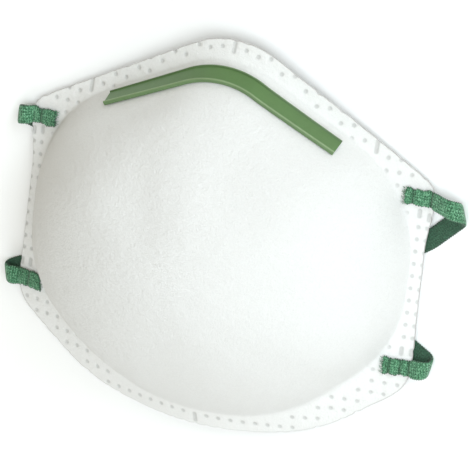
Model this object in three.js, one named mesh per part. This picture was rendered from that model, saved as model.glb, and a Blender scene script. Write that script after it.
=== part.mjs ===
// Disposable moulded dust mask, lying on its flange with the cup upwards.
//
// Millimetres. +X is the wearer's left, +Y runs from chin to nose, +Z from the face
// outwards, and z = 0 is the surface that it lies on. The pieces are shaped about the
// mask's middle line, x = 0, and the whole is centred on its bounding box at the end.
//
// The mask is one moulded cup of nonwoven with a flat welded flange round it, a
// plastic nose clip, and two flat elastic head straps. Each strap is welded on the front
// of the flange at both ends. It leaves the flange outwards, folds back under it in a
// slanting roll, and its free stretch lies on the surface inside the cup.

import * as THREE from 'three';

// ---------------------------------------------------------------- driving dimensions

const CROWN_HEIGHT = 50;          // top of the cup above the surface
const CUP_WALL = 2.2;             // moulded wall
const FLANGE_THICKNESS = 1.2;     // layers welded flat
const ROOT_SOFTNESS = 1.2;        // how softly the cup wall runs out into the flange
const GAP = 0.3;                  // between pieces that touch

// The heart of the polar mesh, on the mask's middle line.
const HEART = new THREE.Vector2(0, -4);
const MESH_SECTORS = 120;
const ARC_STEPS = 24;             // chords in each rounded corner

// Corners of the right half of each outline, from the nose to the chin, and the
// radius that rounds each one. The left half mirrors them.
const OUTLINE_COLUMNS = ['x', 'y', 'radius'];
const FLANGE_CORNERS = [
  [0, 65.8, 28],        // nose
  [68.9, 27, 8],        // shoulder
  [66.6, 8.5, 30],      // waist
  [67.7, -38, 14],      // hip
  [38.4, -60.4, 60],    // jaw
  [0, -68.4, 120],      // chin
];
const CUP_CORNERS = [
  [0, 59.3, 30],
  [62.8, 25, 40],
  [62.8, -25, 38],
  [31, -55.5, 58],
  [0, -61, 110],
];

// Sections round the mask by their bearing from the heart, 0 at the wearer's left and
// 90 at the nose: the height of the flange's underside at its rim, and how far the flange
// falls outwards. The rest of each row shapes the cup: the crown share of its height falls
// away as a parabola, and the remainder by the wall power, which keeps it for the wall.
const SECTION_COLUMNS = ['bearing', 'rimLift', 'fall', 'crownShare', 'wallPower'];
const SECTIONS = [
  [-90, 5, 26, 0.92, 8],
  [-62, 3, 22, 0.84, 9.5],
  [-42, 2.2, 16, 0.75, 11],
  [-24, 1.6, 10, 0.68, 11],
  [-11, 1.4, 5, 0.63, 11],
  [11, 1.4, 5, 0.57, 10],
  [24, 1.6, 8, 0.53, 8.5],
  [45, 3, 13, 0.48, 6],
  [65, 5.2, 14, 0.41, 4],
  [90, 7.2, 12, 0.32, 2.8],
];

// Rings of the mesh: shares of the way from the heart to the cup's root, then shares of
// the way across the flange.
const CUP_RINGS = [0.13, 0.27, 0.4, 0.52, 0.63, 0.73, 0.81, 0.87, 0.92, 0.96, 0.985];
const FLANGE_RINGS = [0, 0.22, 0.6, 1];

// A low ridge runs from the nose down the middle of the cup. It fades out down the cup
// between two heights along Y, and on the wall between two shares of the way to the root.
const RIDGE = {
  height: 0.8,
  halfWidth: 9,
  downFrom: 30,
  downTo: -12,
  wallFrom: 0.6,
  wallTo: 0.97,
};

// Shallow dents and swells that handling leaves in the cup, each an oval: its middle, its
// half length and half width, the turn of its length from +X in degrees, and its height.
// They come in over the stretch below the clip's centreline, and fade out on the wall
// between two shares of the way to the root.
const DENT_COLUMNS = ['x', 'y', 'halfLength', 'halfWidth', 'turn', 'height'];
const DENTS = [
  [-19, 34.5, 20, 10, 60, 1.4],
  [-47, 17.5, 19, 11, 60, -1.6],
  [-7, 12, 10.5, 8, -10, -1],
  [12, 30, 24, 10, -41, -1.3],
  [-29, -36, 21, 14, 0, 1.2],
];
const DENT_FADE = { clipNear: 3.5, clipFar: 10, wallFrom: 0.8, wallTo: 0.98 };

// Nose clip: a shallow channel on the wall, just above its root. Its centreline in plan
// is a peak with two straight arms, rounded at the nose.
const CLIP = {
  peak: 54.65,                     // where the arms would meet, along Y
  endX: 38.05,
  endY: 35.72,
  noseRadius: 26.3,
  width: 6.7,
  floor: 0.9,                     // thickness between the rims
  rim: 1.3,                       // thickness at the rims
  rimWidth: 0.8,
  rimSlope: 0.25,                 // how far each rim's inner side leans
  stations: 41,
};

// Head straps: flat woven elastic.
const STRAP = { width: 6, thickness: 1, slices: 3 };

// The four strap ends. Each is welded from its root outwards, lifts off the flange by
// the rise, runs straight over the arm length, and rolls round a level fold line down to
// the surface. Bearings are in degrees from straight outwards, positive towards the nose:
// the fold faces the bearing, and the band crosses it at the slant.
const END_COLUMNS = ['side', 'rootY', 'rise', 'armLength', 'foldBearing', 'slant'];
const UPPER_ENDS = [
  [1, 23.8, 24, 6.3, 19, 27],
  [-1, 23.1, 33, 2.0, 1, 11],
];
const LOWER_ENDS = [
  [1, -31.6, 20, 3.4, -11, -18],
  [-1, -31.8, 27, 1.9, -12, -14],
];
const ROOT_X = 58.7;              // start of each weld, either side of the middle
const WELD_LENGTH = 8.2;          // stretch of each strap end that is welded down
const UNDER_RUN = 10;             // straight run back under the flange after the roll
const UPPER_PULL = [25, 50];      // how far each end keeps its heading inside the cup
const LOWER_PULL = [16, 16];
const WELD_STEPS = 4;             // sections of each weld
const FOLD_STEP = 1.2;            // between sections round the roll
const FREE_STEP = 4.5;            // between sections of the free stretch

const NONWOVEN_WHITE = '#f1f2f0';
const CLIP_GREEN = '#6f9a5c';
const STRAP_GREEN = '#3f7d56';

// ---------------------------------------------------------------- small helpers

const radians = THREE.MathUtils.degToRad;

// Turns the rows of a table into objects with the names of its columns.
function table(columns, rows) {
  return rows.map((row) => Object.fromEntries(columns.map((name, i) => [name, row[i]])));
}

// Smooth reading of one column of the sections at a bearing in radians.
const sections = table(SECTION_COLUMNS, SECTIONS);
function sectionValue(column, angle) {
  const bearing = THREE.MathUtils.radToDeg(Math.asin(Math.sin(angle)));
  const last = sections.length - 1;
  const above = Math.max(1, sections.findIndex((row) => row.bearing >= bearing));
  const at = (i) => sections[THREE.MathUtils.clamp(i, 0, last)];
  const [a, b, c, d] = [above - 2, above - 1, above, above + 1].map(at);
  const t = (bearing - b.bearing) / (c.bearing - b.bearing);
  const slopeB = (c[column] - a[column]) / (c.bearing - a.bearing);
  const slopeC = (d[column] - b[column]) / (d.bearing - b.bearing);
  const span = c.bearing - b.bearing;
  const endB = above - 1 === 0 ? 0 : slopeB;
  const endC = above === last ? 0 : slopeC;
  return (2 * t ** 3 - 3 * t ** 2 + 1) * b[column] + (t ** 3 - 2 * t ** 2 + t) * span * endB
    + (3 * t ** 2 - 2 * t ** 3) * c[column] + (t ** 3 - t ** 2) * span * endC;
}

// ---------------------------------------------------------------- outlines

// A closed outline through rounded corners, as a list of points.
function roundedOutline(corners) {
  const right = table(OUTLINE_COLUMNS, corners);
  const left = right.filter((c) => c.x > 0).reverse().map((c) => ({ ...c, x: -c.x }));
  const ring = [...right, ...left];
  const path = new THREE.Path();
  ring.forEach((corner, i) => {
    const here = new THREE.Vector2(corner.x, corner.y);
    const before = ring.at(i - 1);
    const after = ring[(i + 1) % ring.length];
    const back = new THREE.Vector2(before.x, before.y).sub(here).normalize();
    const onward = new THREE.Vector2(after.x, after.y).sub(here).normalize();
    const half = Math.acos(back.dot(onward)) / 2;
    const middle = back.clone().add(onward).normalize();
    const centre = here.clone().addScaledVector(middle, corner.radius / Math.sin(half));
    const reach = corner.radius / Math.tan(half);
    const start = here.clone().addScaledVector(back, reach).sub(centre);
    const end = here.clone().addScaledVector(onward, reach).sub(centre);
    const clockwise = back.cross(onward) > 0;
    path.absarc(centre.x, centre.y, corner.radius, start.angle(), end.angle(), clockwise);
  });
  path.closePath();
  return path.getPoints(ARC_STEPS);
}

// Distance from the heart to an outline along a bearing. The tolerance keeps a ray that
// meets an end of an edge.
const TOUCH = 1e-9;
function reachOf(outline, angle) {
  const ray = new THREE.Vector2(Math.cos(angle), Math.sin(angle));
  let reach = 0;
  outline.forEach((point, i) => {
    const a = point.clone().sub(HEART);
    const edge = outline[(i + 1) % outline.length].clone().sub(HEART).sub(a);
    const turn = ray.cross(edge);
    if (Math.abs(turn) < TOUCH) return;
    const along = a.cross(edge) / turn;
    const share = a.cross(ray) / turn;
    if (along > 0 && share >= -TOUCH && share <= 1 + TOUCH) reach = Math.max(reach, along);
  });
  return reach;
}

const flangeOutline = roundedOutline(FLANGE_CORNERS);
const cupOutline = roundedOutline(CUP_CORNERS);

// ---------------------------------------------------------------- the moulded surface

// What the surface needs to know at one bearing.
function sectorAt(angle) {
  const rim = reachOf(flangeOutline, angle);
  const root = reachOf(cupOutline, angle);
  const fall = radians(sectionValue('fall', angle));
  const rimTop = sectionValue('rimLift', angle) + FLANGE_THICKNESS * Math.cos(fall);
  const rootTop = rimTop + (rim - root) * Math.tan(fall);
  const crownShare = sectionValue('crownShare', angle);
  return { rim, root, fall, rootTop, crownShare, wallPower: sectionValue('wallPower', angle) };
}

// The clip's centreline in plan, as y over x.
function clipLineY(x) {
  const slope = (CLIP.peak - CLIP.endY) / CLIP.endX;
  const lean = Math.atan(slope);
  if (Math.abs(x) > CLIP.noseRadius * Math.sin(lean)) return CLIP.peak - Math.abs(x) * slope;
  const centreY = CLIP.peak - CLIP.noseRadius / Math.cos(lean);
  return centreY + Math.sqrt(CLIP.noseRadius ** 2 - x ** 2);
}

// What the dents and swells add to the height, at a share of the way to the root.
const dents = table(DENT_COLUMNS, DENTS);
function dentHeight(x, y, share) {
  let height = 0;
  for (const dent of dents) {
    const turn = radians(dent.turn);
    const from = new THREE.Vector2(x - dent.x, y - dent.y);
    const along = from.dot(new THREE.Vector2(Math.cos(turn), Math.sin(turn)));
    const across = from.dot(new THREE.Vector2(-Math.sin(turn), Math.cos(turn)));
    const oval = (along / dent.halfLength) ** 2 + (across / dent.halfWidth) ** 2;
    height += dent.height * Math.exp(-oval);
  }
  const { clipNear, clipFar, wallFrom, wallTo } = DENT_FADE;
  const belowClip = THREE.MathUtils.smoothstep(clipLineY(x) - y, clipNear, clipFar);
  return height * belowClip * (1 - THREE.MathUtils.smoothstep(share, wallFrom, wallTo));
}

// Height of the front surface at a distance from the heart.
function frontHeight(sector, distance, x, y) {
  const share = distance / sector.root;
  const crownFall = sector.crownShare * share ** 2;
  const wallFall = (1 - sector.crownShare) * share ** sector.wallPower;
  const rise = (CROWN_HEIGHT - sector.rootTop) * (1 - crownFall - wallFall);
  const soft = (rise + Math.hypot(rise, ROOT_SOFTNESS)) / 2;
  const drop = Math.max(0, distance - sector.root) * Math.tan(sector.fall);
  const across = Math.exp(-((x / RIDGE.halfWidth) ** 2));
  const along = THREE.MathUtils.smoothstep(y, RIDGE.downTo, RIDGE.downFrom);
  const inside = 1 - THREE.MathUtils.smoothstep(share, RIDGE.wallFrom, RIDGE.wallTo);
  const ridge = RIDGE.height * across * along * inside;
  return sector.rootTop + soft - drop + ridge + dentHeight(x, y, share);
}

// A point of the front surface over any x and y.
function frontPoint(x, y) {
  const angle = Math.atan2(y - HEART.y, x - HEART.x);
  const distance = Math.hypot(x - HEART.x, y - HEART.y);
  return new THREE.Vector3(x, y, frontHeight(sectorAt(angle), distance, x, y));
}

// The outward normal there, from close neighbours.
const NEIGHBOUR_STEP = 0.05;
function frontNormal(x, y) {
  const step = NEIGHBOUR_STEP;
  const alongX = frontPoint(x + step, y).sub(frontPoint(x - step, y));
  const alongY = frontPoint(x, y + step).sub(frontPoint(x, y - step));
  return alongX.cross(alongY).normalize();
}

// ---------------------------------------------------------------- mesh building

// Closed skin over rings of equal length, with a cap at each end. A cap is one
// vertex at the given point.
function skinOverRings(rings, firstPole, lastPole) {
  const count = rings[0].length;
  const points = [...rings.flat(), firstPole, lastPole];
  const index = [];
  const at = (ring, i) => ring * count + (i % count);
  for (let i = 0; i < count; i += 1) {
    index.push(rings.length * count, at(0, i), at(0, i + 1));
    index.push(rings.length * count + 1, at(rings.length - 1, i + 1), at(rings.length - 1, i));
    for (let ring = 0; ring + 1 < rings.length; ring += 1) {
      index.push(at(ring, i), at(ring + 1, i), at(ring + 1, i + 1));
      index.push(at(ring, i), at(ring + 1, i + 1), at(ring, i + 1));
    }
  }
  return bufferOf(points, index);
}

// Closed bar over loops of equal count that run anticlockwise seen from ahead. The end
// faces are the given triangles of a loop.
function barOverLoops(loops, endTriangles) {
  const count = loops[0].length;
  const last = (loops.length - 1) * count;
  const index = [];
  for (let start = 0; start < last; start += count) {
    for (let i = 0; i < count; i += 1) {
      const next = (i + 1) % count;
      index.push(start + i, start + next, start + count + next);
      index.push(start + i, start + count + next, start + count + i);
    }
  }
  for (const [a, b, c] of endTriangles) {
    index.push(a, c, b);
    index.push(last + a, last + b, last + c);
  }
  return bufferOf(loops.flat(), index);
}

function bufferOf(points, index) {
  const geometry = new THREE.BufferGeometry();
  const values = points.flatMap((point) => point.toArray());
  geometry.setAttribute('position', new THREE.Float32BufferAttribute(values, 3));
  geometry.setIndex(index);
  geometry.computeVertexNormals();
  return geometry;
}

// ---------------------------------------------------------------- mask body

// The front's normal at the very rim, square to the flange's fall.
function rimNormal(angle, fall) {
  const outwards = new THREE.Vector2(Math.cos(angle), Math.sin(angle));
  outwards.multiplyScalar(Math.sin(fall));
  return new THREE.Vector3(outwards.x, outwards.y, Math.cos(fall));
}

// The front is offset inwards by the wall, which thins from the cup to the flange.
function maskBody() {
  const front = [];
  const back = [];
  const cupSpans = CUP_RINGS.map((share) => [share, 0]);
  const flangeSpans = FLANGE_RINGS.map((share) => [1, share]);
  const spans = [...cupSpans, ...flangeSpans];
  for (const [cupShare, flangeShare] of spans) {
    const frontRing = [];
    const backRing = [];
    const wall = flangeShare > 0 ? FLANGE_THICKNESS : CUP_WALL;
    for (let i = 0; i < MESH_SECTORS; i += 1) {
      const angle = (i / MESH_SECTORS) * 2 * Math.PI;
      const sector = sectorAt(angle);
      const distance = sector.root * cupShare + (sector.rim - sector.root) * flangeShare;
      const x = HEART.x + distance * Math.cos(angle);
      const y = HEART.y + distance * Math.sin(angle);
      const point = new THREE.Vector3(x, y, frontHeight(sector, distance, x, y));
      const normal = flangeShare === 1 ? rimNormal(angle, sector.fall) : frontNormal(x, y);
      frontRing.push(point);
      backRing.push(point.clone().addScaledVector(normal, -wall));
    }
    front.push(frontRing);
    back.push(backRing);
  }
  const crown = frontPoint(HEART.x, HEART.y);
  const rings = [...front, ...back.reverse()];
  return skinOverRings(rings, crown, crown.clone().setZ(crown.z - CUP_WALL));
}

// ---------------------------------------------------------------- nose clip

function clipCentreline() {
  const points = [];
  for (let i = 0; i < CLIP.stations; i += 1) {
    const x = CLIP.endX * (1 - (2 * i) / (CLIP.stations - 1));
    points.push(new THREE.Vector2(x, clipLineY(x)));
  }
  return points;
}

// The channel's section, across the clip and out from the wall.
function clipSection() {
  const half = CLIP.width / 2;
  const lip = half - CLIP.rimWidth;
  const foot = lip - CLIP.rimSlope;
  return [
    [-half, 0], [half, 0], [half, CLIP.rim], [lip, CLIP.rim],
    [foot, CLIP.floor], [-foot, CLIP.floor], [-lip, CLIP.rim], [-half, CLIP.rim],
  ];
}

function noseClip() {
  const line = clipCentreline();
  const loops = line.map((here, i) => {
    const before = line[Math.max(0, i - 1)];
    const after = line[Math.min(line.length - 1, i + 1)];
    const seat = frontPoint(here.x, here.y);
    const out = frontNormal(here.x, here.y);
    const along = frontPoint(after.x, after.y).sub(frontPoint(before.x, before.y)).normalize();
    const across = new THREE.Vector3().crossVectors(out, along).normalize();
    return clipSection().map(([side, lift]) => seat.clone()
      .addScaledVector(across, side)
      .addScaledVector(out, lift + GAP));
  });
  const ends = [[0, 1, 4], [1, 2, 3], [1, 3, 4], [0, 4, 5], [0, 5, 6], [0, 6, 7]];
  return barOverLoops(loops, ends);
}

// ---------------------------------------------------------------- head straps

// A row across the band: points on its middle surface, each with the band's normal.
function bandRow(pointAt) {
  const row = [];
  for (let i = 0; i <= STRAP.slices; i += 1) {
    row.push(pointAt(STRAP.width * (i / STRAP.slices - 0.5)));
  }
  return row;
}

// The band's middle surface where it lies on the front of the flange.
function seatedPoint(x, y) {
  const normal = frontNormal(x, y);
  const point = frontPoint(x, y).addScaledVector(normal, GAP + STRAP.thickness / 2);
  return { point, normal };
}

// The welded stretch.
function weldRow(end, along) {
  const x = end.side * (ROOT_X + along);
  return bandRow((offset) => seatedPoint(x, end.rootY + end.side * offset));
}

// The arm, the roll and the run under the flange are one straight band laid on a level
// cylinder. Its profile, out across the fold line, rises to the roll's start, turns over
// round the roll, and ends level on the surface.
function foldOf(end) {
  const rise = radians(end.rise);
  const slant = radians(end.slant);
  const bearing = radians(end.foldBearing);
  const out = new THREE.Vector3(end.side * Math.cos(bearing), Math.sin(bearing), 0);
  const axis = new THREE.Vector3(end.side * Math.sin(bearing), -Math.cos(bearing), 0);
  const crease = seatedPoint(end.side * (ROOT_X + WELD_LENGTH), end.rootY).point;
  const riseLength = end.armLength * Math.cos(slant);
  const drop = crease.z + riseLength * Math.sin(rise) - STRAP.thickness / 2;
  const radius = drop / (1 + Math.cos(rise));
  return { side: end.side, rise, slant, out, axis, crease, riseLength, radius };
}

// Where the band's middle surface is, from the distance along the band past the crease
// and the offset across it. Short of the crease it still lies on the flange.
function foldPoint(fold, along, offset) {
  const { rise, slant, radius, riseLength } = fold;
  const travel = along * Math.cos(slant) + fold.side * offset * Math.sin(slant);
  const sideways = along * Math.sin(slant) - fold.side * offset * Math.cos(slant);
  if (travel < 0) {
    const seat = fold.crease.clone().addScaledVector(fold.out, travel);
    seat.addScaledVector(fold.axis, sideways);
    return seatedPoint(seat.x, seat.y);
  }
  const turned = THREE.MathUtils.clamp((travel - riseLength) / radius, 0, Math.PI + rise);
  const onRise = Math.min(travel, riseLength);
  const onFloor = Math.max(0, travel - riseLength - radius * (Math.PI + rise));
  const heading = rise - turned;
  const reach = onRise * Math.cos(rise) + radius * (Math.sin(rise) - Math.sin(heading)) - onFloor;
  const height = onRise * Math.sin(rise) - radius * (Math.cos(rise) - Math.cos(heading));
  const point = fold.crease.clone().addScaledVector(fold.out, reach);
  point.addScaledVector(fold.axis, sideways);
  point.z += height;
  const normal = fold.out.clone().multiplyScalar(-Math.sin(heading));
  normal.z = Math.cos(heading);
  return { point, normal };
}

// Rows of one strap end, from its root to the end of its run under the flange, with the
// place and heading that the free stretch takes over.
function strapEnd(end) {
  const rows = [];
  for (let i = 0; i < WELD_STEPS; i += 1) {
    rows.push(weldRow(end, (WELD_LENGTH * i) / WELD_STEPS));
  }
  const fold = foldOf(end);
  const rollLength = fold.radius * (Math.PI + fold.rise);
  const length = end.armLength + rollLength / Math.cos(fold.slant) + UNDER_RUN;
  const foldSteps = Math.round(length / FOLD_STEP);
  for (let i = 0; i <= foldSteps; i += 1) {
    rows.push(bandRow((offset) => foldPoint(fold, (length * i) / foldSteps, offset)));
  }
  const inwards = fold.out.clone().multiplyScalar(-Math.cos(fold.slant));
  inwards.addScaledVector(fold.axis, Math.sin(fold.slant));
  return { rows, exit: foldPoint(fold, length, 0).point, inwards };
}

// The free stretch on the surface, from one end's exit to the other's.
function freeRows(right, left, pull) {
  const curve = new THREE.CubicBezierCurve3(
    right.exit,
    right.exit.clone().addScaledVector(right.inwards, pull[0]),
    left.exit.clone().addScaledVector(left.inwards, pull[1]),
    left.exit,
  );
  const steps = Math.round(curve.getLength() / FREE_STEP);
  const normal = new THREE.Vector3(0, 0, -1);
  const rows = [];
  for (let i = 1; i < steps; i += 1) {
    const centre = curve.getPointAt(i / steps);
    const across = normal.clone().cross(curve.getTangentAt(i / steps)).normalize();
    rows.push(bandRow((offset) => {
      const point = centre.clone().addScaledVector(across, offset);
      return { point, normal };
    }));
  }
  return rows;
}

function headStrap(endRows, pull) {
  const [right, left] = table(END_COLUMNS, endRows).map(strapEnd);
  const backFromLeft = left.rows.reverse().map((row) => row.reverse());
  const rows = [...right.rows, ...freeRows(right, left, pull), ...backFromLeft];
  const half = STRAP.thickness / 2;
  const loops = rows.map((row) => {
    const inner = row.map(({ point, normal }) => point.clone().addScaledVector(normal, -half));
    const outer = row.map(({ point, normal }) => point.clone().addScaledVector(normal, half));
    return [...inner, ...outer.reverse()];
  });
  const ends = [];
  const lastOuter = 2 * STRAP.slices + 1;
  for (let i = 0; i < STRAP.slices; i += 1) {
    ends.push([i, i + 1, lastOuter - i - 1], [i, lastOuter - i - 1, lastOuter - i]);
  }
  return barOverLoops(loops, ends);
}

// ---------------------------------------------------------------- the assembly

function piece(name, geometry, color, roughness) {
  const material = new THREE.MeshStandardMaterial({ color, roughness, metalness: 0 });
  const mesh = new THREE.Mesh(geometry, material);
  mesh.name = name;
  return mesh;
}

const dustMask = new THREE.Group();
dustMask.add(piece('mask_body', maskBody(), NONWOVEN_WHITE, 0.95));
dustMask.add(piece('nose_clip', noseClip(), CLIP_GREEN, 0.45));
dustMask.add(piece('upper_head_strap', headStrap(UPPER_ENDS, UPPER_PULL), STRAP_GREEN, 0.9));
dustMask.add(piece('lower_head_strap', headStrap(LOWER_ENDS, LOWER_PULL), STRAP_GREEN, 0.9));

const middle = new THREE.Box3().setFromObject(dustMask).getCenter(new THREE.Vector3());
dustMask.position.set(-middle.x, -middle.y, 0);

export default dustMask;
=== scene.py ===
import math

import bpy
import numpy as np
from mathutils import Matrix, Vector, noise


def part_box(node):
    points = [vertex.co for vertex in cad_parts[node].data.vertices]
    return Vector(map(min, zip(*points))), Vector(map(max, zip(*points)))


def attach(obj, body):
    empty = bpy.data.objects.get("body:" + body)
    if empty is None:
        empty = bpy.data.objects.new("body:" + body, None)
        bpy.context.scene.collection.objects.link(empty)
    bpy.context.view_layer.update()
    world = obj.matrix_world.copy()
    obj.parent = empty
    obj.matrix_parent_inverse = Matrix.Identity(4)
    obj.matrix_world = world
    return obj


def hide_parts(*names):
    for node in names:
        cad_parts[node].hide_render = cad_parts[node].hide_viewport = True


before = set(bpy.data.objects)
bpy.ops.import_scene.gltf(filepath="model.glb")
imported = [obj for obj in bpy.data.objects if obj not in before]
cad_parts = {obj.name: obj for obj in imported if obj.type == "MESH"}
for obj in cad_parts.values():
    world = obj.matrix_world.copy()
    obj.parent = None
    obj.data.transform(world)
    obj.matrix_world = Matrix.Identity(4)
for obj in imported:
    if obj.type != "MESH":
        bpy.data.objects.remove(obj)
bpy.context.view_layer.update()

# The mask is shaped in millimetres about its own middle line, with the same named sizes
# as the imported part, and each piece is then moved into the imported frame, in metres.

# ---------------------------------------------------------------- sizes of the part

CROWN_HEIGHT = 50.0
CUP_WALL = 2.2
FLANGE_THICKNESS = 1.2
ROOT_SOFTNESS = 1.2
GAP = 0.3
HEART_Y = -4.0

# Outline corners: x, y, radius.
FLANGE_CORNERS = [
    (0, 65.8, 28),        # nose
    (68.9, 27, 8),        # shoulder
    (66.6, 8.5, 30),      # waist
    (67.7, -38, 14),      # hip
    (38.4, -60.4, 60),    # jaw
    (0, -68.4, 120),      # chin
]
CUP_CORNERS = [
    (0, 59.3, 30),
    (62.8, 25, 40),
    (62.8, -25, 38),
    (31, -55.5, 58),
    (0, -61, 110),
]

# Sections by bearing from the heart: bearing, rim lift, fall, crown share, wall power.
SECTIONS = np.array([
    (-90, 5, 26, 0.92, 8),
    (-62, 3, 22, 0.84, 9.5),
    (-42, 2.2, 16, 0.75, 11),
    (-24, 1.6, 10, 0.68, 11),
    (-11, 1.4, 5, 0.63, 11),
    (11, 1.4, 5, 0.57, 10),
    (24, 1.6, 8, 0.53, 8.5),
    (45, 3, 13, 0.48, 6),
    (65, 5.2, 14, 0.41, 4),
    (90, 7.2, 12, 0.32, 2.8),
])
RIM_LIFT, FALL, CROWN_SHARE, WALL_POWER = 1, 2, 3, 4

RIDGE_HEIGHT = 0.8
RIDGE_HALF_WIDTH = 9.0
RIDGE_DOWN = (-12.0, 30.0)        # along Y, from none to full
RIDGE_WALL = (0.6, 0.97)          # share of the way to the root, from full to none

# Dents and swells: x, y, half length, half width, turn, height.
DENTS = [
    (-19, 34.5, 20, 10, 60, 1.4),
    (-47, 17.5, 19, 11, 60, -1.6),
    (-7, 12, 10.5, 8, -10, -1.0),
    (12, 30, 24, 10, -41, -1.3),
    (-29, -36, 21, 14, 0, 1.2),
]
DENT_CLIP = (3.5, 10.0)           # below the clip's centreline, from none to full
DENT_WALL = (0.8, 0.98)           # share of the way to the root, from full to none

CLIP_PEAK = 54.65
CLIP_END = (38.05, 35.72)
CLIP_NOSE_RADIUS = 26.3
CLIP_WIDTH = 6.7
CLIP_FLOOR = 0.9
CLIP_RIM = 1.3
CLIP_RIM_WIDTH = 0.8

STRAP_WIDTH = 6.0
STRAP_THICKNESS = 1.0
ROOT_X = 58.7
WELD_LENGTH = 8.2
UNDER_RUN = 10.0

# Strap ends: side, root y, rise, arm length, fold bearing, slant.
UPPER_ENDS = [(1, 23.8, 24, 6.3, 19, 27), (-1, 23.1, 33, 2.0, 1, 11)]
LOWER_ENDS = [(1, -31.6, 20, 3.4, -11, -18), (-1, -31.8, 27, 1.9, -12, -14)]
# Pressed lines across each end, from its root, and how far its cut end slants.
UPPER_CREASES = [(2.7, 8.6), (5.6,)]
LOWER_CREASES = [(2.0, 5.6, 8.3), (4.7,)]
UPPER_CUTS = (0.0, 0.5)
LOWER_CUTS = (0.0, -1.1)
UPPER_PULL = (25, 50)
LOWER_PULL = (16, 16)


# ---------------------------------------------------------------- the moulded surface

def smooth(low, high, value):
    """A soft step from 0 at low to 1 at high."""
    share = np.clip((value - low) / (high - low), 0, 1)
    return share * share * (3 - 2 * share)


def section_value(column, angle):
    """One column of the sections, read smoothly at bearings in radians."""
    stations = SECTIONS[:, 0]
    values = SECTIONS[:, column]
    bearing = np.degrees(np.arcsin(np.sin(angle)))
    last = len(stations) - 1
    after = np.clip(np.searchsorted(stations, bearing), 1, last)
    before = after - 1
    earlier = np.maximum(before - 1, 0)
    later = np.minimum(after + 1, last)
    span = stations[after] - stations[before]
    t = (bearing - stations[before]) / span
    slope_before = (values[after] - values[earlier]) / (stations[after] - stations[earlier])
    slope_after = (values[later] - values[before]) / (stations[later] - stations[before])
    slope_before = np.where(before == 0, 0, slope_before)
    slope_after = np.where(after == last, 0, slope_after)
    return ((2 * t**3 - 3 * t**2 + 1) * values[before]
            + (t**3 - 2 * t**2 + t) * span * slope_before
            + (3 * t**2 - 2 * t**3) * values[after]
            + (t**3 - t**2) * span * slope_after)


def rounded_outline(corners, steps=24):
    """The closed outline through rounded corners, mirrored to the other side."""
    right = [Vector(corner) for corner in corners]
    left = [Vector((-c.x, c.y, c.z)) for c in reversed(right) if c.x > 0]
    ring = right + left
    points = []
    for i, corner in enumerate(ring):
        here = corner.xy
        back = (ring[i - 1].xy - here).normalized()
        onward = (ring[(i + 1) % len(ring)].xy - here).normalized()
        half = back.angle(onward) / 2
        centre = here + (back + onward).normalized() * (corner.z / math.sin(half))
        reach = corner.z / math.tan(half)
        start = here + back * reach - centre
        end = here + onward * reach - centre
        turn = start.angle_signed(end)
        for step in range(steps + 1):
            spoke = Matrix.Rotation(-turn * step / steps, 2) @ start
            points.append(centre + spoke)
    return np.array(points)


BEARINGS = np.linspace(-math.pi, math.pi, 14401)


TOUCH = 1e-9                      # keeps a ray that meets an end of an edge


def reach_table(corners):
    """Distance from the heart to the outermost edge of the outline at each bearing."""
    starts = rounded_outline(corners) - (0, HEART_Y)
    edges = np.roll(starts, -1, axis=0) - starts
    ray_x, ray_y = np.cos(BEARINGS), np.sin(BEARINGS)
    reach = np.zeros(len(BEARINGS))
    for (x, y), (edge_x, edge_y) in zip(starts, edges):
        turn = ray_x * edge_y - ray_y * edge_x
        crossed = np.abs(turn) > TOUCH
        turn = np.where(crossed, turn, 1)
        along = (x * edge_y - y * edge_x) / turn
        share = (x * ray_y - y * ray_x) / turn
        crossed &= (along > 0) & (share >= -TOUCH) & (share <= 1 + TOUCH)
        reach = np.where(crossed, np.maximum(reach, along), reach)
    return reach


ROOT_SPAN = 100                   # bearings either side that the cup's root is averaged over


def softened(reach):
    """The reach without the kinks between its chords and roundings."""
    ring = reach[:-1]
    wrapped = np.concatenate([ring[-ROOT_SPAN:], ring, ring[:ROOT_SPAN]])
    count = 2 * ROOT_SPAN + 1
    soft = np.convolve(wrapped, np.ones(count) / count, "valid")
    return np.append(soft, soft[0])


RIM_REACH = reach_table(FLANGE_CORNERS)
ROOT_REACH = softened(softened(reach_table(CUP_CORNERS)))


def sector_at(angle):
    """Rim, root, fall, height of the root, crown share and wall power at some bearings."""
    turned = (angle + math.pi) % (2 * math.pi) - math.pi
    rim = np.interp(turned, BEARINGS, RIM_REACH)
    root = np.interp(turned, BEARINGS, ROOT_REACH)
    fall = np.radians(section_value(FALL, angle))
    rim_top = section_value(RIM_LIFT, angle) + FLANGE_THICKNESS * np.cos(fall)
    root_top = rim_top + (rim - root) * np.tan(fall)
    crown_share = section_value(CROWN_SHARE, angle)
    return rim, root, fall, root_top, crown_share, section_value(WALL_POWER, angle)


def clip_line_y(x):
    """The clip's centreline in plan."""
    slope = (CLIP_PEAK - CLIP_END[1]) / CLIP_END[0]
    lean = math.atan(slope)
    centre_y = CLIP_PEAK - CLIP_NOSE_RADIUS / math.cos(lean)
    on_arm = CLIP_PEAK - np.abs(x) * slope
    on_nose = centre_y + np.sqrt(np.maximum(0, CLIP_NOSE_RADIUS**2 - x**2))
    return np.where(np.abs(x) > CLIP_NOSE_RADIUS * math.sin(lean), on_arm, on_nose)


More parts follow.
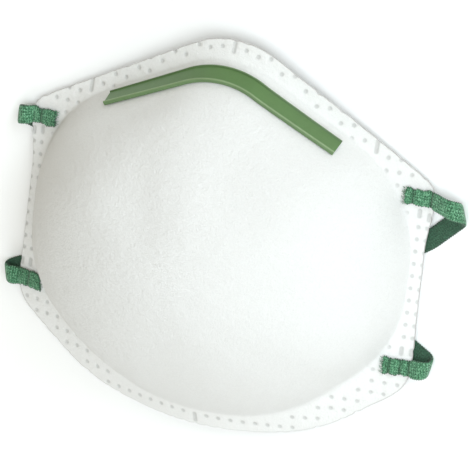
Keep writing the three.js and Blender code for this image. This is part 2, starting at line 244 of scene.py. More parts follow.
def dent_height(x, y, share):
    """What the dents and swells add to the height, at a share of the way to the root."""
    height = np.zeros(np.shape(share))
    for middle_x, middle_y, half_length, half_width, turn, swell in DENTS:
        cos_turn, sin_turn = math.cos(math.radians(turn)), math.sin(math.radians(turn))
        along = (x - middle_x) * cos_turn + (y - middle_y) * sin_turn
        across = (y - middle_y) * cos_turn - (x - middle_x) * sin_turn
        height += swell * np.exp(-((along / half_length) ** 2) - (across / half_width) ** 2)
    below_clip = smooth(*DENT_CLIP, clip_line_y(x) - y)
    return height * below_clip * (1 - smooth(*DENT_WALL, share))


def front_point(x, y):
    """Points of the front surface over x and y."""
    x = np.asarray(x, float)
    y = np.asarray(y, float)
    distance = np.hypot(x, y - HEART_Y)
    root, fall, root_top, crown, power = sector_at(np.arctan2(y - HEART_Y, x))[1:]
    share = distance / root
    rise = (CROWN_HEIGHT - root_top) * (1 - crown * share**2 - (1 - crown) * share**power)
    soft = (rise + np.hypot(rise, ROOT_SOFTNESS)) / 2
    drop = np.maximum(0, distance - root) * np.tan(fall)
    ridge = np.exp(-((x / RIDGE_HALF_WIDTH) ** 2)) * smooth(*RIDGE_DOWN, y)
    ridge = ridge * (1 - smooth(*RIDGE_WALL, share))
    z = root_top + soft - drop + RIDGE_HEIGHT * ridge + dent_height(x, y, share)
    return np.stack([x, y, z], axis=-1)


def unit(vectors):
    return vectors / np.linalg.norm(vectors, axis=-1, keepdims=True)


NEIGHBOUR_STEP = 0.05


def front_normal(x, y):
    """Outward normals of the front surface, from close neighbours."""
    step = NEIGHBOUR_STEP
    along_x = front_point(x + step, y) - front_point(x - step, y)
    along_y = front_point(x, y + step) - front_point(x, y - step)
    return unit(np.cross(along_x, along_y))


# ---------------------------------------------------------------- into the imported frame

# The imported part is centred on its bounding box. The body is symmetric, so its own box
# gives the sideways shift, and the height of the nose along Y gives the other.
body_low, body_high = [np.array(corner) * 1000 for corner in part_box("mask_body")]
nose_y = HEART_Y + np.interp(math.pi / 2, BEARINGS, RIM_REACH)
SHIFT = np.array([(body_low[0] + body_high[0]) / 2, body_high[1] - nose_y, 0.0])


def to_frame(points):
    return (np.asarray(points, float) + SHIFT) / 1000


def make_piece(name, points, faces, material, smooth_faces=True):
    """A mesh object from points in millimetres, riding on the root body."""
    mesh = bpy.data.meshes.new(name)
    mesh.from_pydata(to_frame(points).tolist(), [], [list(map(int, f)) for f in faces])
    mesh.validate()
    mesh.materials.append(material)
    mesh.polygons.foreach_set("use_smooth", [smooth_faces] * len(mesh.polygons))
    piece = bpy.data.objects.new(name, mesh)
    bpy.context.scene.collection.objects.link(piece)
    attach(piece, "root")
    return piece


def add_values(piece, name, values):
    """One number for each vertex, for the material to read."""
    attribute = piece.data.attributes.new(name, "FLOAT", "POINT")
    attribute.data.foreach_set("value", np.asarray(values, float))


# ---------------------------------------------------------------- camera

CAMERA_YAW = math.radians(20.63)
CAMERA_PITCH = math.radians(18.21)
CAMERA_ROLL = math.radians(6.34)
CAMERA_DISTANCE = 1000.0
CAMERA_LENS = 246.5
CAMERA_TARGET = np.array([0.0, 0.0, 15.0])
CAMERA_ASIDE = (8.86, 0.25)       # the aim's offset from the target, right and up


def make_camera():
    yaw, pitch = CAMERA_YAW, CAMERA_PITCH
    towards = Vector((math.sin(yaw) * math.cos(pitch), math.sin(pitch),
                      math.cos(yaw) * math.cos(pitch)))
    level = Vector((math.cos(yaw), 0, -math.sin(yaw)))
    upright = towards.cross(level)
    cos_roll, sin_roll = math.cos(CAMERA_ROLL), math.sin(CAMERA_ROLL)
    right = level * cos_roll + upright * sin_roll
    up = upright * cos_roll - level * sin_roll
    target = Vector(to_frame(CAMERA_TARGET))
    place = target + towards * (CAMERA_DISTANCE / 1000)
    aim = target + right * (CAMERA_ASIDE[0] / 1000) + up * (CAMERA_ASIDE[1] / 1000)
    back = (place - aim).normalized()
    side = up.cross(back).normalized()
    turned = Matrix((side, back.cross(side), back)).transposed()
    data = bpy.data.cameras.new("camera")
    data.lens = CAMERA_LENS
    data.sensor_width = 36
    data.clip_start = 0.05
    data.clip_end = 20
    camera = bpy.data.objects.new("camera", data)
    camera.matrix_world = Matrix.Translation(place) @ turned.to_4x4()
    bpy.context.scene.collection.objects.link(camera)
    bpy.context.scene.camera = camera


make_camera()


# ---------------------------------------------------------------- materials

def new_material(name):
    material = bpy.data.materials.new(name)
    material.use_nodes = True
    return material, material.node_tree.nodes["Principled BSDF"], material.node_tree


def add_node(tree, kind, **settings):
    node = tree.nodes.new(kind)
    for key, value in settings.items():
        if key in node.inputs:
            node.inputs[key].default_value = value
        else:
            setattr(node, key, value)
    return node


def math_node(tree, operation, first, second=None):
    node = tree.nodes.new("ShaderNodeMath")
    node.operation = operation
    for socket, value in zip(node.inputs, (first, second)):
        if value is None:
            continue
        if isinstance(value, (int, float)):
            socket.default_value = value
        else:
            tree.links.new(value, socket)
    return node.outputs[0]


def point_value(tree, name):
    return add_node(tree, "ShaderNodeAttribute", attribute_name=name).outputs["Fac"]


def noise_value(tree, scale, detail=3.0, roughness=0.6, distortion=0.0):
    """A noise over the piece, with its scale in features to the metre."""
    place = add_node(tree, "ShaderNodeTexCoord")
    node = add_node(tree, "ShaderNodeTexNoise", Scale=scale, Detail=detail,
                    Roughness=roughness, Distortion=distortion)
    tree.links.new(place.outputs["Object"], node.inputs["Vector"])
    return node.outputs["Fac"]


def ramp_colour(tree, factor, stops):
    """Colours along a factor, from stops of position, red, green and blue."""
    node = add_node(tree, "ShaderNodeValToRGB")
    elements = node.color_ramp.elements
    while len(elements) < len(stops):
        elements.new(0.5)
    for element, (position, red, green, blue) in zip(elements, stops):
        element.position = position
        element.color = (red, green, blue, 1)
    tree.links.new(factor, node.inputs["Fac"])
    return node.outputs["Color"]


def mixed_colour(tree, factor, first, second, blend="MIX"):
    node = tree.nodes.new("ShaderNodeMix")
    node.data_type = "RGBA"
    node.blend_type = blend
    sockets = [socket for socket in node.inputs if socket.type == "RGBA"]
    for socket, value in ((node.inputs[0], factor), (sockets[0], first), (sockets[1], second)):
        if isinstance(value, (int, float, tuple)):
            socket.default_value = value
        else:
            tree.links.new(value, socket)
    return [socket for socket in node.outputs if socket.type == "RGBA"][0]


def add_bump(tree, shader, height, strength, distance):
    bump = add_node(tree, "ShaderNodeBump", Strength=strength, Distance=distance)
    tree.links.new(height, bump.inputs["Height"])
    tree.links.new(bump.outputs["Normal"], shader.inputs["Normal"])


CUP_FELT = (0.765, 0.765, 0.755, 1)
CUT_EDGE = (0.50, 0.48, 0.47, 1)


def nonwoven_material():
    """White felt of fine fibres, greyer and closed up where it is welded or cut."""
    material, shader, tree = new_material("nonwoven")
    fibres = noise_value(tree, 1900.0, 3.0, 0.62, 0.8)
    clumps = noise_value(tree, 520.0, 3.0, 0.55)
    far = math_node(tree, "MULTIPLY", point_value(tree, "weld"), 0.5)
    welded = ramp_colour(tree, far, [
        (0.0, 0.62, 0.62, 0.61), (0.25, 0.62, 0.62, 0.61), (0.42, 0.80, 0.80, 0.79),
        (0.6, 0.83, 0.83, 0.82),
    ])
    welded = mixed_colour(tree, point_value(tree, "flange"), CUP_FELT, welded)
    cut = point_value(tree, "cut")
    colour = mixed_colour(tree, cut, welded, CUT_EDGE)
    mottle = ramp_colour(tree, fibres, [(0.30, 0.95, 0.95, 0.95), (0.62, 1, 1, 1)])
    colour = mixed_colour(tree, 1.0, colour, mottle, "MULTIPLY")
    tree.links.new(colour, shader.inputs["Base Color"])
    height = math_node(tree, "ADD", fibres, math_node(tree, "MULTIPLY", clumps, 1.2))
    add_bump(tree, shader, height, 0.85, 0.0003)
    shader.inputs["Roughness"].default_value = 0.95
    shader.inputs["Specular IOR Level"].default_value = 0.15
    shader.inputs["Sheen Weight"].default_value = 0.12
    shader.inputs["Sheen Roughness"].default_value = 0.6
    return material


def clip_material():
    """Satin moulded plastic, with painted highlights on its rims and painted shade in the corner
    beside the upper one.
    """
    material, shader, tree = new_material("clip_plastic")
    grain = noise_value(tree, 700.0, 3.0, 0.55)
    drawn = noise_value(tree, 130.0, 2.0, 0.5)
    place = math_node(tree, "MULTIPLY", point_value(tree, "side"), 0.125)
    place = math_node(tree, "ADD", place, 0.5)
    # Across the channel: painted highlights on both rims, brightest on the lower one, and painted
    # shade in the corner inside the upper rim.
    base = ramp_colour(tree, place, [
        (0.085, 0.120, 0.215, 0.085), (0.120, 0.150, 0.255, 0.105),
        (0.165, 0.060, 0.115, 0.040), (0.215, 0.086, 0.178, 0.052),
        (0.790, 0.092, 0.186, 0.056), (0.835, 0.120, 0.215, 0.085),
        (0.875, 0.270, 0.370, 0.200), (0.925, 0.115, 0.205, 0.080),
    ])
    fine = math_node(tree, "MULTIPLY", grain, 0.4)
    broad = math_node(tree, "MULTIPLY", drawn, 0.6)
    uneven = math_node(tree, "ADD", fine, broad)
    uneven = ramp_colour(tree, uneven, [(0.35, 0.90, 0.90, 0.90), (0.62, 1, 1, 1)])
    colour = mixed_colour(tree, 1.0, base, uneven, "MULTIPLY")
    tree.links.new(colour, shader.inputs["Base Color"])
    add_bump(tree, shader, grain, 0.15, 0.00005)
    shader.inputs["Roughness"].default_value = 0.42
    return material


CORD_PITCH = 1.0                  # across an elastic, millimetres
RIB_PITCH = 0.75                  # along an elastic


def elastic_material():
    """Flat knitted elastic: lengthwise cords crossed by slanting ribs of bright yarn, with
    painted shade on the inner face, along the edges and in the creases.
    """
    material, shader, tree = new_material("elastic")
    along = point_value(tree, "along")
    across = point_value(tree, "across")
    yarn = noise_value(tree, 1900.0, 2.0, 0.75)
    wale = math_node(tree, "PINGPONG", math_node(tree, "ADD", across, 3.0), CORD_PITCH / 2)
    slanted = math_node(tree, "ADD", along, math_node(tree, "MULTIPLY", wale, 0.75))
    slanted = math_node(tree, "ADD", slanted, math_node(tree, "MULTIPLY", yarn, 0.25))
    rib = math_node(tree, "SINE", math_node(tree, "MULTIPLY", slanted, 2 * math.pi / RIB_PITCH))
    cord = math_node(tree, "SUBTRACT", math_node(tree, "MULTIPLY", wale, 4 / CORD_PITCH), 1.0)
    rib = math_node(tree, "MULTIPLY", rib, 0.17)
    cord = math_node(tree, "MULTIPLY", cord, 0.12)
    height = math_node(tree, "ADD", rib, cord)
    speck = math_node(tree, "MULTIPLY", math_node(tree, "SUBTRACT", yarn, 0.5), 2.6)
    share = math_node(tree, "ADD", math_node(tree, "ADD", height, speck), 0.45)
    outer = ramp_colour(tree, share, [
        (0.05, 0.008, 0.060, 0.024), (0.45, 0.046, 0.205, 0.092), (0.95, 0.220, 0.490, 0.300),
    ])
    # The inner face is painted darker than the outer: painted shade on the side that faces down
    # and in.
    inner = ramp_colour(tree, share, [(0.05, 0.008, 0.045, 0.022), (0.95, 0.034, 0.130, 0.066)])
    colour = mixed_colour(tree, point_value(tree, "face"), inner, outer)
    # Painted shade darkens both edges of the strap.
    edge_shade = math_node(tree, "ABSOLUTE", across)
    edge_shade = math_node(tree, "SMOOTH_MIN", math_node(tree, "SUBTRACT", edge_shade, 2.3), 0.5)
    edge_shade = math_node(tree, "MULTIPLY", math_node(tree, "MAXIMUM", edge_shade, 0.0), 1.3)
    shaded = mixed_colour(tree, 1.0, colour, (0.40, 0.50, 0.46, 1), "MULTIPLY")
    colour = mixed_colour(tree, edge_shade, colour, shaded)
    # Painted shade darkens the strap along its creases.
    crease_shade = mixed_colour(tree, 1.0, colour, (0.42, 0.50, 0.46, 1), "MULTIPLY")
    colour = mixed_colour(tree, point_value(tree, "crease"), colour, crease_shade)
    tree.links.new(colour, shader.inputs["Base Color"])
    add_bump(tree, shader, share, 0.7, 0.0003)
    shader.inputs["Roughness"].default_value = 0.75
    shader.inputs["Sheen Weight"].default_value = 0.25
    return material


NONWOVEN = nonwoven_material()
CLIP_PLASTIC = clip_material()
ELASTIC = elastic_material()


# ---------------------------------------------------------------- weld dots

LATTICE = 4.0
LATTICE_ROWS = 14.5               # rows below the middle of the lattice
SIDE_COLUMN = 17                  # this column is squeezed against the rim
SIDE_COLUMN_X = 66.8
CHIN_BOW = 3.75
CHIN_BOW_HALF = 44.0
FAR = 9.0                         # stands for nowhere near a dot or a bar

# Runs of weld dots on one side: first column, last column, first row, last row.
DOT_RUNS = [
    (1, 8, 0, 0), (8, 10, 1, 1), (10, 12, 2, 2), (11, 13, 3, 3), (13, 15, 4, 4),
    (14, 16, 5, 5), (14, 14, 6, 6), (15, 15, 8, 8), (16, 16, 9, 18), (17, 17, 9, 18),
    (15, 15, 19, 19), (14, 14, 21, 21), (13, 15, 22, 22), (13, 14, 23, 23),
    (10, 11, 24, 24), (9, 10, 25, 25), (7, 8, 26, 26), (6, 6, 27, 27), (4, 5, 28, 28),
    (2, 4, 29, 29),
]

# Weld bars on one side or on the middle line: x, y, half length along Y.
BARS = [
    (0, 59.6, 1.3), (4, 59.2, 0.0), (0, -63.1, 1.3), (48, 36.8, 1.7),
    (63.9, 18.4, 0.9), (67.0, 17.6, 0.8), (63.9, -26.6, 0.9), (67.0, -26.6, 0.7),
]


def weld_places():
    """Centres of all the dots, and the bars as rows of x, y and half length."""
    dots = []
    for first, last, low, high in DOT_RUNS:
        for column in range(first, last + 1):
            for row in range(low, high + 1):
                x = SIDE_COLUMN_X if column == SIDE_COLUMN else column * LATTICE
                y = (row - LATTICE_ROWS) * LATTICE
                if y < -40:
                    y -= CHIN_BOW * max(0, 1 - (x / CHIN_BOW_HALF) ** 2)
                dots.append((x, y, 0.0))
    marks = dots + BARS
    mirrored = [(-x, y, half) for x, y, half in marks if x > 0]
    return np.array(marks + mirrored)


def weld_distance(x, y):
    """Distance from each point to the nearest dot or bar."""
    nearest = np.full(np.shape(x), FAR)
    for mark_x, mark_y, half in weld_places():
        beyond = np.maximum(np.abs(y - mark_y) - half, 0)
        nearest = np.minimum(nearest, np.hypot(x - mark_x, beyond))
    return nearest


# ---------------------------------------------------------------- mask body

FINE = 1152                       # vertices round the flange
COARSE = 384                      # vertices round the cup
DOT_RADIUS = 0.55
DOT_DEPTH = 0.22
QUILT_RADIUS = 1.4
QUILT_DEPTH = 0.12
NOTCH_RADIUS = 0.75
NOTCH_DEPTH = 0.38
WELD_REACH = 2.0                  # the material reads distances to a weld up to this
FLANGE_BLEND = 0.2                # share of the flange over which its look comes in
WALL_BLEND = 0.22                 # share of the flange over which the wall thins
CUT_SHADE = 0.7                   # how dark the front's last ring is, beside the cut edge

# Soft unevenness of the front: height, size, seed.
FELT_RELIEF = [(0.12, 22.0, 3.0), (0.06, 6.0, 8.0)]

# The rounded rim: share of the flange's thickness, and how far it swells outwards.
RIM_ROUND = [(0.2, 0.12), (0.5, 0.2), (0.8, 0.12)]

# Rings of the mesh from the heart, as shares of the way to the cup's root, then as shares
# of the way across the flange.
FRONT_CUP_RINGS = np.concatenate([np.linspace(0.02, 0.9, 44), np.linspace(0.915, 0.985, 8)])
FRONT_FLANGE_RINGS = np.linspace(0, 1, 30)
BACK_FLANGE_RINGS = np.linspace(1, 0, 9)
BACK_CUP_RINGS = np.linspace(0.97, 0.03, 34)


def relief(x, y, size, seed):
    """Soft unevenness between -1 and 1."""
    place = [noise.noise(Vector((px / size, py / size, seed))) for px, py in zip(x, y)]
    return np.array(place)


def rim_cut(x, y):
    """How far the cut edge stands in: half dots it was cut through, and soft unevenness."""
    column = x - LATTICE * np.round(x / LATTICE)
    row = y / LATTICE + LATTICE_ROWS
    row = LATTICE * (row - np.round(row))
    notch = NOTCH_DEPTH * np.exp(-(column**2 + row**2) / NOTCH_RADIUS**2)
    return notch - 0.14 * relief(x, y, 5.0, 5.0) - 0.10 * relief(x, y, 1.6, 2.0)


def body_ring(count, cup_share, flange_share):
    """Places in plan round one ring, cut ragged towards the rim."""
    angle = np.arange(count) / count * 2 * math.pi
    rim, root = sector_at(angle)[:2]
    distance = root * cup_share + (rim - root) * flange_share
    near_rim = smooth(0.75, 1.0, flange_share)
    if near_rim > 0:
        edge_x = rim * np.cos(angle)
        edge_y = HEART_Y + rim * np.sin(angle)
        distance = distance - near_rim * rim_cut(edge_x, edge_y)
    return distance * np.cos(angle), HEART_Y + distance * np.sin(angle)


def join_rings(faces, first, first_count, second, second_count):
    """Faces between two rings, given by their first vertices and their counts."""
    if first_count == second_count:
        for i in range(first_count):
            j = (i + 1) % first_count
            faces.append((first + i, second + i, second + j, first + j))
        return
    if first_count < second_count:
        for i in range(first_count):
            a, b = first + i, first + (i + 1) % first_count
            f = [second + (3 * i + k) % second_count for k in range(4)]
            faces.extend([(a, f[0], f[1]), (a, f[1], f[2]), (a, f[2], b), (f[2], f[3], b)])
        return
    for i in range(second_count):
        a, b = second + i, second + (i + 1) % second_count
        f = [first + (3 * i + k) % first_count for k in range(4)]
        faces.extend([(f[0], a, f[1]), (f[1], a, f[2]), (f[2], a, b), (f[2], b, f[3])])


def make_body():
    rings = [(COARSE, share, 0.0) for share in FRONT_CUP_RINGS]
    rings += [(FINE, 1.0, share) for share in FRONT_FLANGE_RINGS]
    points, starts, counts, welds, cuts, flanges = [], [], [], [], [], []
    total = 0

    def add_ring(ring, weld, cut=0.0, flange=1.0):
        nonlocal total
        starts.append(total)
        counts.append(len(ring))
        points.append(ring)
        welds.append(weld)
        cuts.append(np.full(len(ring), cut))
        flanges.append(np.full(len(ring), flange))
        total += len(ring)

    for count, cup_share, flange_share in rings:
        x, y = body_ring(count, cup_share, flange_share)
        ring = front_point(x, y)
        near = weld_distance(x, y) if count == FINE else np.full(count, FAR)
        ring[:, 2] -= DOT_DEPTH * np.exp(-((near / DOT_RADIUS) ** 4))
        ring[:, 2] -= QUILT_DEPTH * np.exp(-((near / QUILT_RADIUS) ** 2))
        ring[:, 2] += sum(height * relief(x, y, size, seed) for height, size, seed in FELT_RELIEF)
        cut = CUT_SHADE * float(flange_share > 0.99)
        flange = float(smooth(0, FLANGE_BLEND, flange_share))
        add_ring(ring, np.minimum(near, WELD_REACH), cut, flange)
    # The rim, rounded over from the front to the back.
    x, y = body_ring(FINE, 1.0, 1.0)
    normal = front_normal(x * 0.999, (y - HEART_Y) * 0.999 + HEART_Y)
    outward = unit(np.stack([x, y - HEART_Y, np.zeros(FINE)], axis=-1))
    top = front_point(x, y)
    for depth, swell in RIM_ROUND:
        ring = top - normal * FLANGE_THICKNESS * depth + outward * swell
        add_ring(ring, np.full(FINE, FAR), 1.0)
    # The back, in coarser rings, from the rim to the heart.
    back = [(COARSE, 1.0, share) for share in BACK_FLANGE_RINGS]
    back += [(COARSE, share, 0.0) for share in BACK_CUP_RINGS]
    for count, cup_share, flange_share in back:
        x, y = body_ring(count, cup_share, flange_share)
        inner = 1 - smooth(0.0, WALL_BLEND, flange_share)
        wall = FLANGE_THICKNESS + (CUP_WALL - FLANGE_THICKNESS) * inner
        ring = front_point(x, y) - front_normal(x * 0.9995, y) * wall
        flange = float(smooth(0, FLANGE_BLEND, flange_share))
        add_ring(ring, np.full(count, FAR), 0.0, flange)
    faces = []
    for k in range(len(starts) - 1):
        join_rings(faces, starts[k], counts[k], starts[k + 1], counts[k + 1])
    crown = front_point(np.array([0.0]), np.array([HEART_Y + 0.01]))
    points.append(crown - (0, 0, 0.05))
    points.append(crown - (0, 0, CUP_WALL))
    welds.append(np.full(2, FAR))
    cuts.append(np.zeros(2))
    flanges.append(np.zeros(2))
    for i in range(counts[0]):
        faces.append((total, starts[0] + i, starts[0] + (i + 1) % counts[0]))
    for i in range(counts[-1]):
        faces.append((total + 1, starts[-1] + (i + 1) % counts[-1], starts[-1] + i))
    piece = make_piece("mask_shell", np.concatenate(points), faces, NONWOVEN)
    add_values(piece, "weld", np.concatenate(welds))
    add_values(piece, "cut", np.concatenate(cuts))
    add_values(piece, "flange", np.concatenate(flanges))
    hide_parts("mask_body")


make_body()


# ---------------------------------------------------------------- nose clip

CLIP_STATIONS = 161


def clip_section():
    """The channel's section, across the clip and out from its seat."""
    half = CLIP_WIDTH / 2
    lip = half - CLIP_RIM_WIDTH
    crest = CLIP_RIM
    floor = CLIP_FLOOR
    rim = [
        (half, crest - 0.35), (half - 0.12, crest - 0.1), (half - 0.35, crest),
        (lip + 0.25, crest), (lip + 0.05, crest - 0.08), (lip - 0.12, floor + 0.05),
        (lip - 0.3, floor),
    ]
    other_rim = [(-side, lift) for side, lift in reversed(rim)]
    return [(-half, 0.0), (half, 0.0), *rim, (0.0, floor), *other_rim]


def make_clip():
    x = np.linspace(CLIP_END[0], -CLIP_END[0], CLIP_STATIONS)
    y = clip_line_y(x)
    seat = front_point(x, y)
    out = front_normal(x, y)
    along = unit(np.gradient(seat, axis=0))
    across = unit(np.cross(out, along))
    section = clip_section()
    loops = [seat + across * side + out * (GAP + lift) for side, lift in section]
    points = np.stack(loops, axis=1)
    count = len(section)
    faces = []
    for k in range(len(x) - 1):
        for i in range(count):
            j = (i + 1) % count
            a, b = k * count, (k + 1) * count
            faces.append((a + i, a + j, b + j, b + i))
    last = (len(x) - 1) * count
    faces.append(tuple(reversed(range(count))))
    faces.append(tuple(range(last, last + count)))
    piece = make_piece("clip_channel", points.reshape(-1, 3), faces, CLIP_PLASTIC, False)
    add_values(piece, "side", np.tile([side for side, lift in section], len(x)))
    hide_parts("nose_clip")


make_clip()


# ---------------------------------------------------------------- head straps

def seated(x, y):
    """Points and normals of a strap's middle surface where it lies on the flange."""
    normal = front_normal(x, y)
    return front_point(x, y) + normal * (GAP + STRAP_THICKNESS / 2), normal


# Sizes of the unevenness along a welded edge, and of the broad one that goes with it.
ROUGH_SIZE = 0.55
BROAD_EDGE = 0.35
BROAD_SIZE = 2.2
LUMP_HEIGHT = 0.16                # unevenness of the welded stretch's face
LUMP_SIZE = 1.1
PRESSED_WIDTH = 5.3               # across a strap where it is welded down
CREASE_HALF = 0.55
CREASE_DEPTH = 0.3
PICOT = 0.11                      # loops along the edges
ROUGH_EDGE = 0.28                 # unevenness of the welded edges
YARN_COUNT = 16                   # loose yarns at each cut end


def wander(values, size, seed):
    """Soft unevenness between -1 and 1 along some values."""
    return np.array([noise.noise(Vector((value / size, seed, 0.5))) for value in values])


class StrapEnd:
    """One end of a strap: its weld, its arm, its roll and its run under the flange."""

    def __init__(self, shape, creases, cut):
        side, root_y, rise, arm, bearing, slant = shape
        self.creases = creases
        self.cut = cut
        self.seed = 7.3 * side + 0.1 * root_y
        self.side = side
        self.root_y = root_y
        self.rise = math.radians(rise)
        self.slant = math.radians(slant)
        turn = math.radians(bearing)
        self.out = np.array([side * math.cos(turn), math.sin(turn), 0.0])
        self.axis = np.array([side * math.sin(turn), -math.cos(turn), 0.0])
        crease_x = np.array([side * (ROOT_X + WELD_LENGTH)])
        self.crease = seated(crease_x, np.array([root_y]))[0][0]
        self.rise_length = arm * math.cos(self.slant)
        drop = self.crease[2] + self.rise_length * math.sin(self.rise)
        self.radius = (drop - STRAP_THICKNESS / 2) / (1 + math.cos(self.rise))
        roll = self.radius * (math.pi + self.rise)
        self.length = arm + roll / math.cos(self.slant) + UNDER_RUN

    def weld(self, along, offset):
        """Points and normals of the welded stretch."""
        x = self.side * (ROOT_X + along) + np.zeros_like(offset)
        return seated(x, self.root_y + self.side * offset)

    def fold(self, along, offset):
        """Points and normals of the arm, the roll and the run under the flange."""
        rise, slant, radius = self.rise, self.slant, self.radius
        travel = along * math.cos(slant) + self.side * offset * math.sin(slant)
        sideways = along * math.sin(slant) - self.side * offset * math.cos(slant)
        turned = np.clip((travel - self.rise_length) / radius, 0, math.pi + rise)
        on_rise = np.clip(travel, 0, self.rise_length)
        on_floor = np.maximum(0, travel - self.rise_length - radius * (math.pi + rise))
        heading = rise - turned
        reach = on_rise * math.cos(rise) - on_floor
        reach = reach + radius * (math.sin(rise) - np.sin(heading))
        height = on_rise * math.sin(rise) - radius * (math.cos(rise) - np.cos(heading))
        point = self.crease + self.out * reach[:, None] + self.axis * sideways[:, None]
        point[:, 2] += height
        normal = self.out * -np.sin(heading)[:, None]
        normal[:, 2] = np.cos(heading)
        short = travel < 0
        if short.any():
            place = self.crease + self.out * travel[:, None] + self.axis * sideways[:, None]
            seat, seat_normal = seated(place[:, 0], place[:, 1])
            point[short] = seat[short]
            normal[short] = seat_normal[short]
        return point, normal

    def press(self, travel):
        """How hard a crease presses the strap at a distance from its root."""
        marks = [math.exp(-((travel - place) / CREASE_HALF) ** 2) for place in self.creases]
        return max(marks)

    def row_offsets(self, travel, offset):
        """Offsets over one row: narrow and rough where it is welded, then a picot edge."""
        welded = 1 - smooth(WELD_LENGTH - 1.5, WELD_LENGTH + 2.5, travel)
        width = 1 - (1 - PRESSED_WIDTH / STRAP_WIDTH) * welded - 0.05 * self.press(travel)
        row = offset * width
        for sign in (-1, 1):
            near = smooth(0.75, 1.0, sign * offset * 2 / STRAP_WIDTH)
            picot = PICOT * math.sin(travel * 2 * math.pi / RIB_PITCH + sign)
            rough = ROUGH_EDGE * welded * wander([travel], ROUGH_SIZE, self.seed + sign)[0]
            broad = BROAD_EDGE * welded * wander([travel], BROAD_SIZE, self.seed + 3 * sign)[0]
            row = row + sign * near * (picot + 1.6 * rough) + sign * broad * near
        return row

    def rows(self, offset, step):
        """Rows of point, normal, crease and lift from the root to the end of the under run."""
        made = []
        total = WELD_LENGTH + self.length
        count = round(total / step)
        ragged = 0.55 * wander(offset, 0.5, self.seed) + self.cut * offset / STRAP_WIDTH
        for i in range(count + 1):
            travel = total * i / count
            row = self.row_offsets(travel, offset)
            if travel < WELD_LENGTH:
                slip = (ragged + 0.3) * (1 - smooth(0.0, 2.5, travel))
                point, normal = self.weld(travel + slip, row)
            else:
                point, normal = self.fold(travel - WELD_LENGTH, row)
            press = self.press(travel)
            welded = 1 - smooth(WELD_LENGTH - 1.0, WELD_LENGTH + 1.5, travel)
            lumps = LUMP_HEIGHT * wander(row + 40 * travel, LUMP_SIZE, self.seed + 11)
            lift = welded * (lumps + 0.10) - CREASE_DEPTH * press * min(1, travel)
            made.append((point, normal, press, lift))
        return made

    def fray(self, rng):
        """Loose yarns standing out of the cut end, as lines of points."""
        yarns = []
        for _ in range(YARN_COUNT):
            across = rng.uniform(-0.46, 0.46) * PRESSED_WIDTH
            place, normal = self.weld(rng.uniform(-0.1, 0.6), np.array([across]))
            length = rng.uniform(0.5, 1.5)
            aside = rng.uniform(-0.7, 0.7)
            curl = rng.uniform(-0.5, 0.5)
            heading = np.array([-self.side * 1.0, aside, 0.0])
            heading = heading - normal[0] * (heading @ normal[0])
            turned = np.cross(normal[0], heading)
            t = np.linspace(0, 1, 5)[:, None]
            line = place[0] + heading * length * t + turned * curl * length * t**2
            line = line + normal[0] * (0.28 * np.sin(t * 3.0) - 0.30 * t)
            yarns.append(line)
        return yarns

    def exit(self):
        """Where the run under the flange ends, and its heading there."""
        point = self.fold(self.length, np.zeros(1))[0][0]
        heading = self.axis * math.sin(self.slant) - self.out * math.cos(self.slant)
        return point, heading


def free_rows(right, left, pull, offset, step):
    """Rows of the free stretch, on one smooth curve from one end's exit to the other's."""
    start, start_heading = right.exit()
    end, end_heading = left.exit()
    handles = [start, start + start_heading * pull[0], end + end_heading * pull[1], end]
    t = np.linspace(0, 1, 600)[:, None]
    weights = ((1 - t) ** 3, 3 * (1 - t) ** 2 * t, 3 * (1 - t) * t**2, t**3)
    line = sum(weight * handle for weight, handle in zip(weights, handles))
    lengths = np.linalg.norm(np.diff(line, axis=0), axis=1)
    travelled = np.concatenate([[0], np.cumsum(lengths)])
    steps = round(travelled[-1] / step)
    made = []
    for i in range(1, steps):
        here = travelled[-1] * i / steps
        centre = np.array([np.interp(here, travelled, line[:, k]) for k in range(3)])
        ahead = np.array([np.interp(here + 0.2, travelled, line[:, k]) for k in range(3)])
        behind = np.array([np.interp(here - 0.2, travelled, line[:, k]) for k in range(3)])
        normal = np.array([0.0, 0.0, -1.0])
        across = unit(np.cross(normal, ahead - behind))
        row = centre + across * offset[:, None]
        picot = PICOT * math.sin(here * 2 * math.pi / RIB_PITCH)
        row = row + across * (picot * (offset * 2 / STRAP_WIDTH) ** 7)[:, None]
        made.append((row, np.tile(normal, (len(offset), 1)), 0.0, np.zeros(len(offset))))
    return made


YARN_RADIUS = 0.11
STRAP_COLUMNS = 25
STRAP_STEP = 0.2                  # between rows of a strap end
FREE_STEP = STRAP_STEP * 1.5      # between rows of the free stretch
FRAY_SEED = 11


def add_yarn(line, points, faces, values):
    """A thin three-sided tube along a line of points, tapered to a tip."""
    first = len(points)
    for k, place in enumerate(line):
        ahead = unit(line[min(k + 1, len(line) - 1)] - line[max(k - 1, 0)])
        aside = unit(np.cross(ahead, (0.0, 0.0, 1.0)))
        above = np.cross(aside, ahead)
        radius = YARN_RADIUS * (1 - 0.55 * k / (len(line) - 1))
        for turn in (90, 210, 330):
            spoke = aside * math.cos(math.radians(turn)) + above * math.sin(math.radians(turn))
            points.append(place + spoke * radius)
            values.append((0.3 * k + 7.0 * place[1], 0.5, 1.0, 0.0))
    for k in range(len(line) - 1):
        a, b = first + 3 * k, first + 3 * (k + 1)
        for i in range(3):
            j = (i + 1) % 3
            faces.append((a + i, b + i, b + j, a + j))
    last = first + 3 * (len(line) - 1)
    faces.append((first, first + 1, first + 2))
    faces.append((last, last + 2, last + 1))


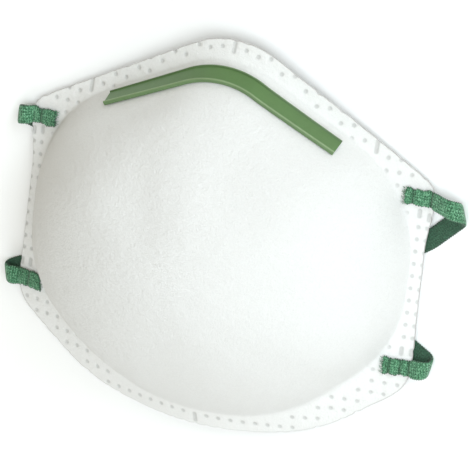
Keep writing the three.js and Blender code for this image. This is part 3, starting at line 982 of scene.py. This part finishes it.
def make_strap(name, node, ends, creases, cuts, pull):
    columns = STRAP_COLUMNS
    offset = np.linspace(-0.5, 0.5, columns) * STRAP_WIDTH
    right = StrapEnd(ends[0], creases[0], cuts[0])
    left = StrapEnd(ends[1], creases[1], cuts[1])
    back = []
    for point, normal, press, lift in reversed(left.rows(offset, STRAP_STEP)):
        back.append((point[::-1], normal[::-1], press, lift[::-1]))
    rows = right.rows(offset, STRAP_STEP)
    rows += free_rows(right, left, pull, offset, FREE_STEP)
    rows += back
    middle = np.array([row[0] for row in rows])
    normal = np.array([row[1] for row in rows])
    press = np.array([row[2] for row in rows])[:, None]
    lift = np.array([row[3] for row in rows])
    edge = np.abs(offset) / (STRAP_WIDTH / 2)
    half = STRAP_THICKNESS / 2 * np.sqrt(np.maximum(0.05, 1 - edge**6))
    outer = middle + normal * (half * (1 - 0.25 * press) + lift)[..., None]
    inner = middle - normal * (half * (1 - 0.25 * press))[..., None]
    loops = np.concatenate([inner, outer[:, ::-1]], axis=1)
    centre_line = middle[:, columns // 2]
    lengths = np.linalg.norm(np.diff(centre_line, axis=0), axis=1)
    along = np.concatenate([[0], np.cumsum(lengths)])
    count = 2 * columns
    points = list(loops.reshape(-1, 3))
    values = np.stack([
        np.repeat(along, count),
        np.tile(np.concatenate([offset, offset[::-1]]), len(rows)),
        np.tile(np.repeat([0.0, 1.0], columns), len(rows)),
        np.repeat(press[:, 0], count),
    ], axis=1).tolist()
    faces = []
    for k in range(len(rows) - 1):
        a, b = k * count, (k + 1) * count
        for i in range(count):
            j = (i + 1) % count
            faces.append((a + i, a + j, b + j, b + i))
    last = (len(rows) - 1) * count
    for i in range(columns - 1):
        j = count - 1 - i
        faces.append((i, j, j - 1, i + 1))
        faces.append((last + i, last + i + 1, last + j - 1, last + j))
    rng = np.random.default_rng(FRAY_SEED)
    for yarn in right.fray(rng) + left.fray(rng):
        add_yarn(yarn, points, faces, values)
    piece = make_piece(name, np.array(points), faces, ELASTIC)
    for attribute, column in zip(("along", "across", "face", "crease"), zip(*values)):
        add_values(piece, attribute, column)
    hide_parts(node)


make_strap("upper_elastic", "upper_head_strap", UPPER_ENDS, UPPER_CREASES, UPPER_CUTS,
           UPPER_PULL)
make_strap("lower_elastic", "lower_head_strap", LOWER_ENDS, LOWER_CREASES, LOWER_CUTS,
           LOWER_PULL)


# ---------------------------------------------------------------- floor and light

FLOOR_HALF = 3.0
FLOOR_SINK = 0.00005              # keeps the straps clear of the floor's own face


def make_floor():
    mesh = bpy.data.meshes.new("floor")
    side = FLOOR_HALF
    corners = [(-side, -side, 0), (side, -side, 0), (side, side, 0), (-side, side, 0)]
    mesh.from_pydata(corners, [], [(0, 1, 2, 3)])
    floor = bpy.data.objects.new("floor", mesh)
    floor.location.z = -FLOOR_SINK
    bpy.context.scene.collection.objects.link(floor)
    material, shader, _ = new_material("floor_paper")
    shader.inputs["Base Color"].default_value = (0.97, 0.97, 0.97, 1)
    shader.inputs["Roughness"].default_value = 0.9
    mesh.materials.append(material)


LAMP_TINT = (0.84, 0.93, 1.0)
WORLD_TINT = (1, 0.89, 0.68, 1)
WORLD_STRENGTH = 0.40

# Soft round lamps: name, place, diameter, power.
LAMPS = [
    ("side_high", (0.9, 0.0, 1.2), 0.9, 9.3),
    ("side_nose", (0.9, 0.9, 0.7), 0.9, 9.2),
    ("overhead", (0.2, 0.2, 1.6), 1.1, 8.4),
    ("chin_fill", (0.0, -1.2, 0.7), 0.9, 5.3),
]


def add_lamp(name, place, diameter, power):
    data = bpy.data.lights.new(name, "AREA")
    data.shape = "DISK"
    data.size = diameter
    data.energy = power
    data.color = LAMP_TINT
    lamp = bpy.data.objects.new(name, data)
    lamp.location = place
    lamp.rotation_euler = (-Vector(place)).to_track_quat("-Z", "Y").to_euler()
    bpy.context.scene.collection.objects.link(lamp)


make_floor()
for lamp_row in LAMPS:
    add_lamp(*lamp_row)
world = bpy.data.worlds.new("studio")
world.use_nodes = True
world.node_tree.nodes["Background"].inputs["Color"].default_value = WORLD_TINT
world.node_tree.nodes["Background"].inputs["Strength"].default_value = WORLD_STRENGTH
bpy.context.scene.world = world
bpy.context.scene.view_settings.view_transform = "Standard"
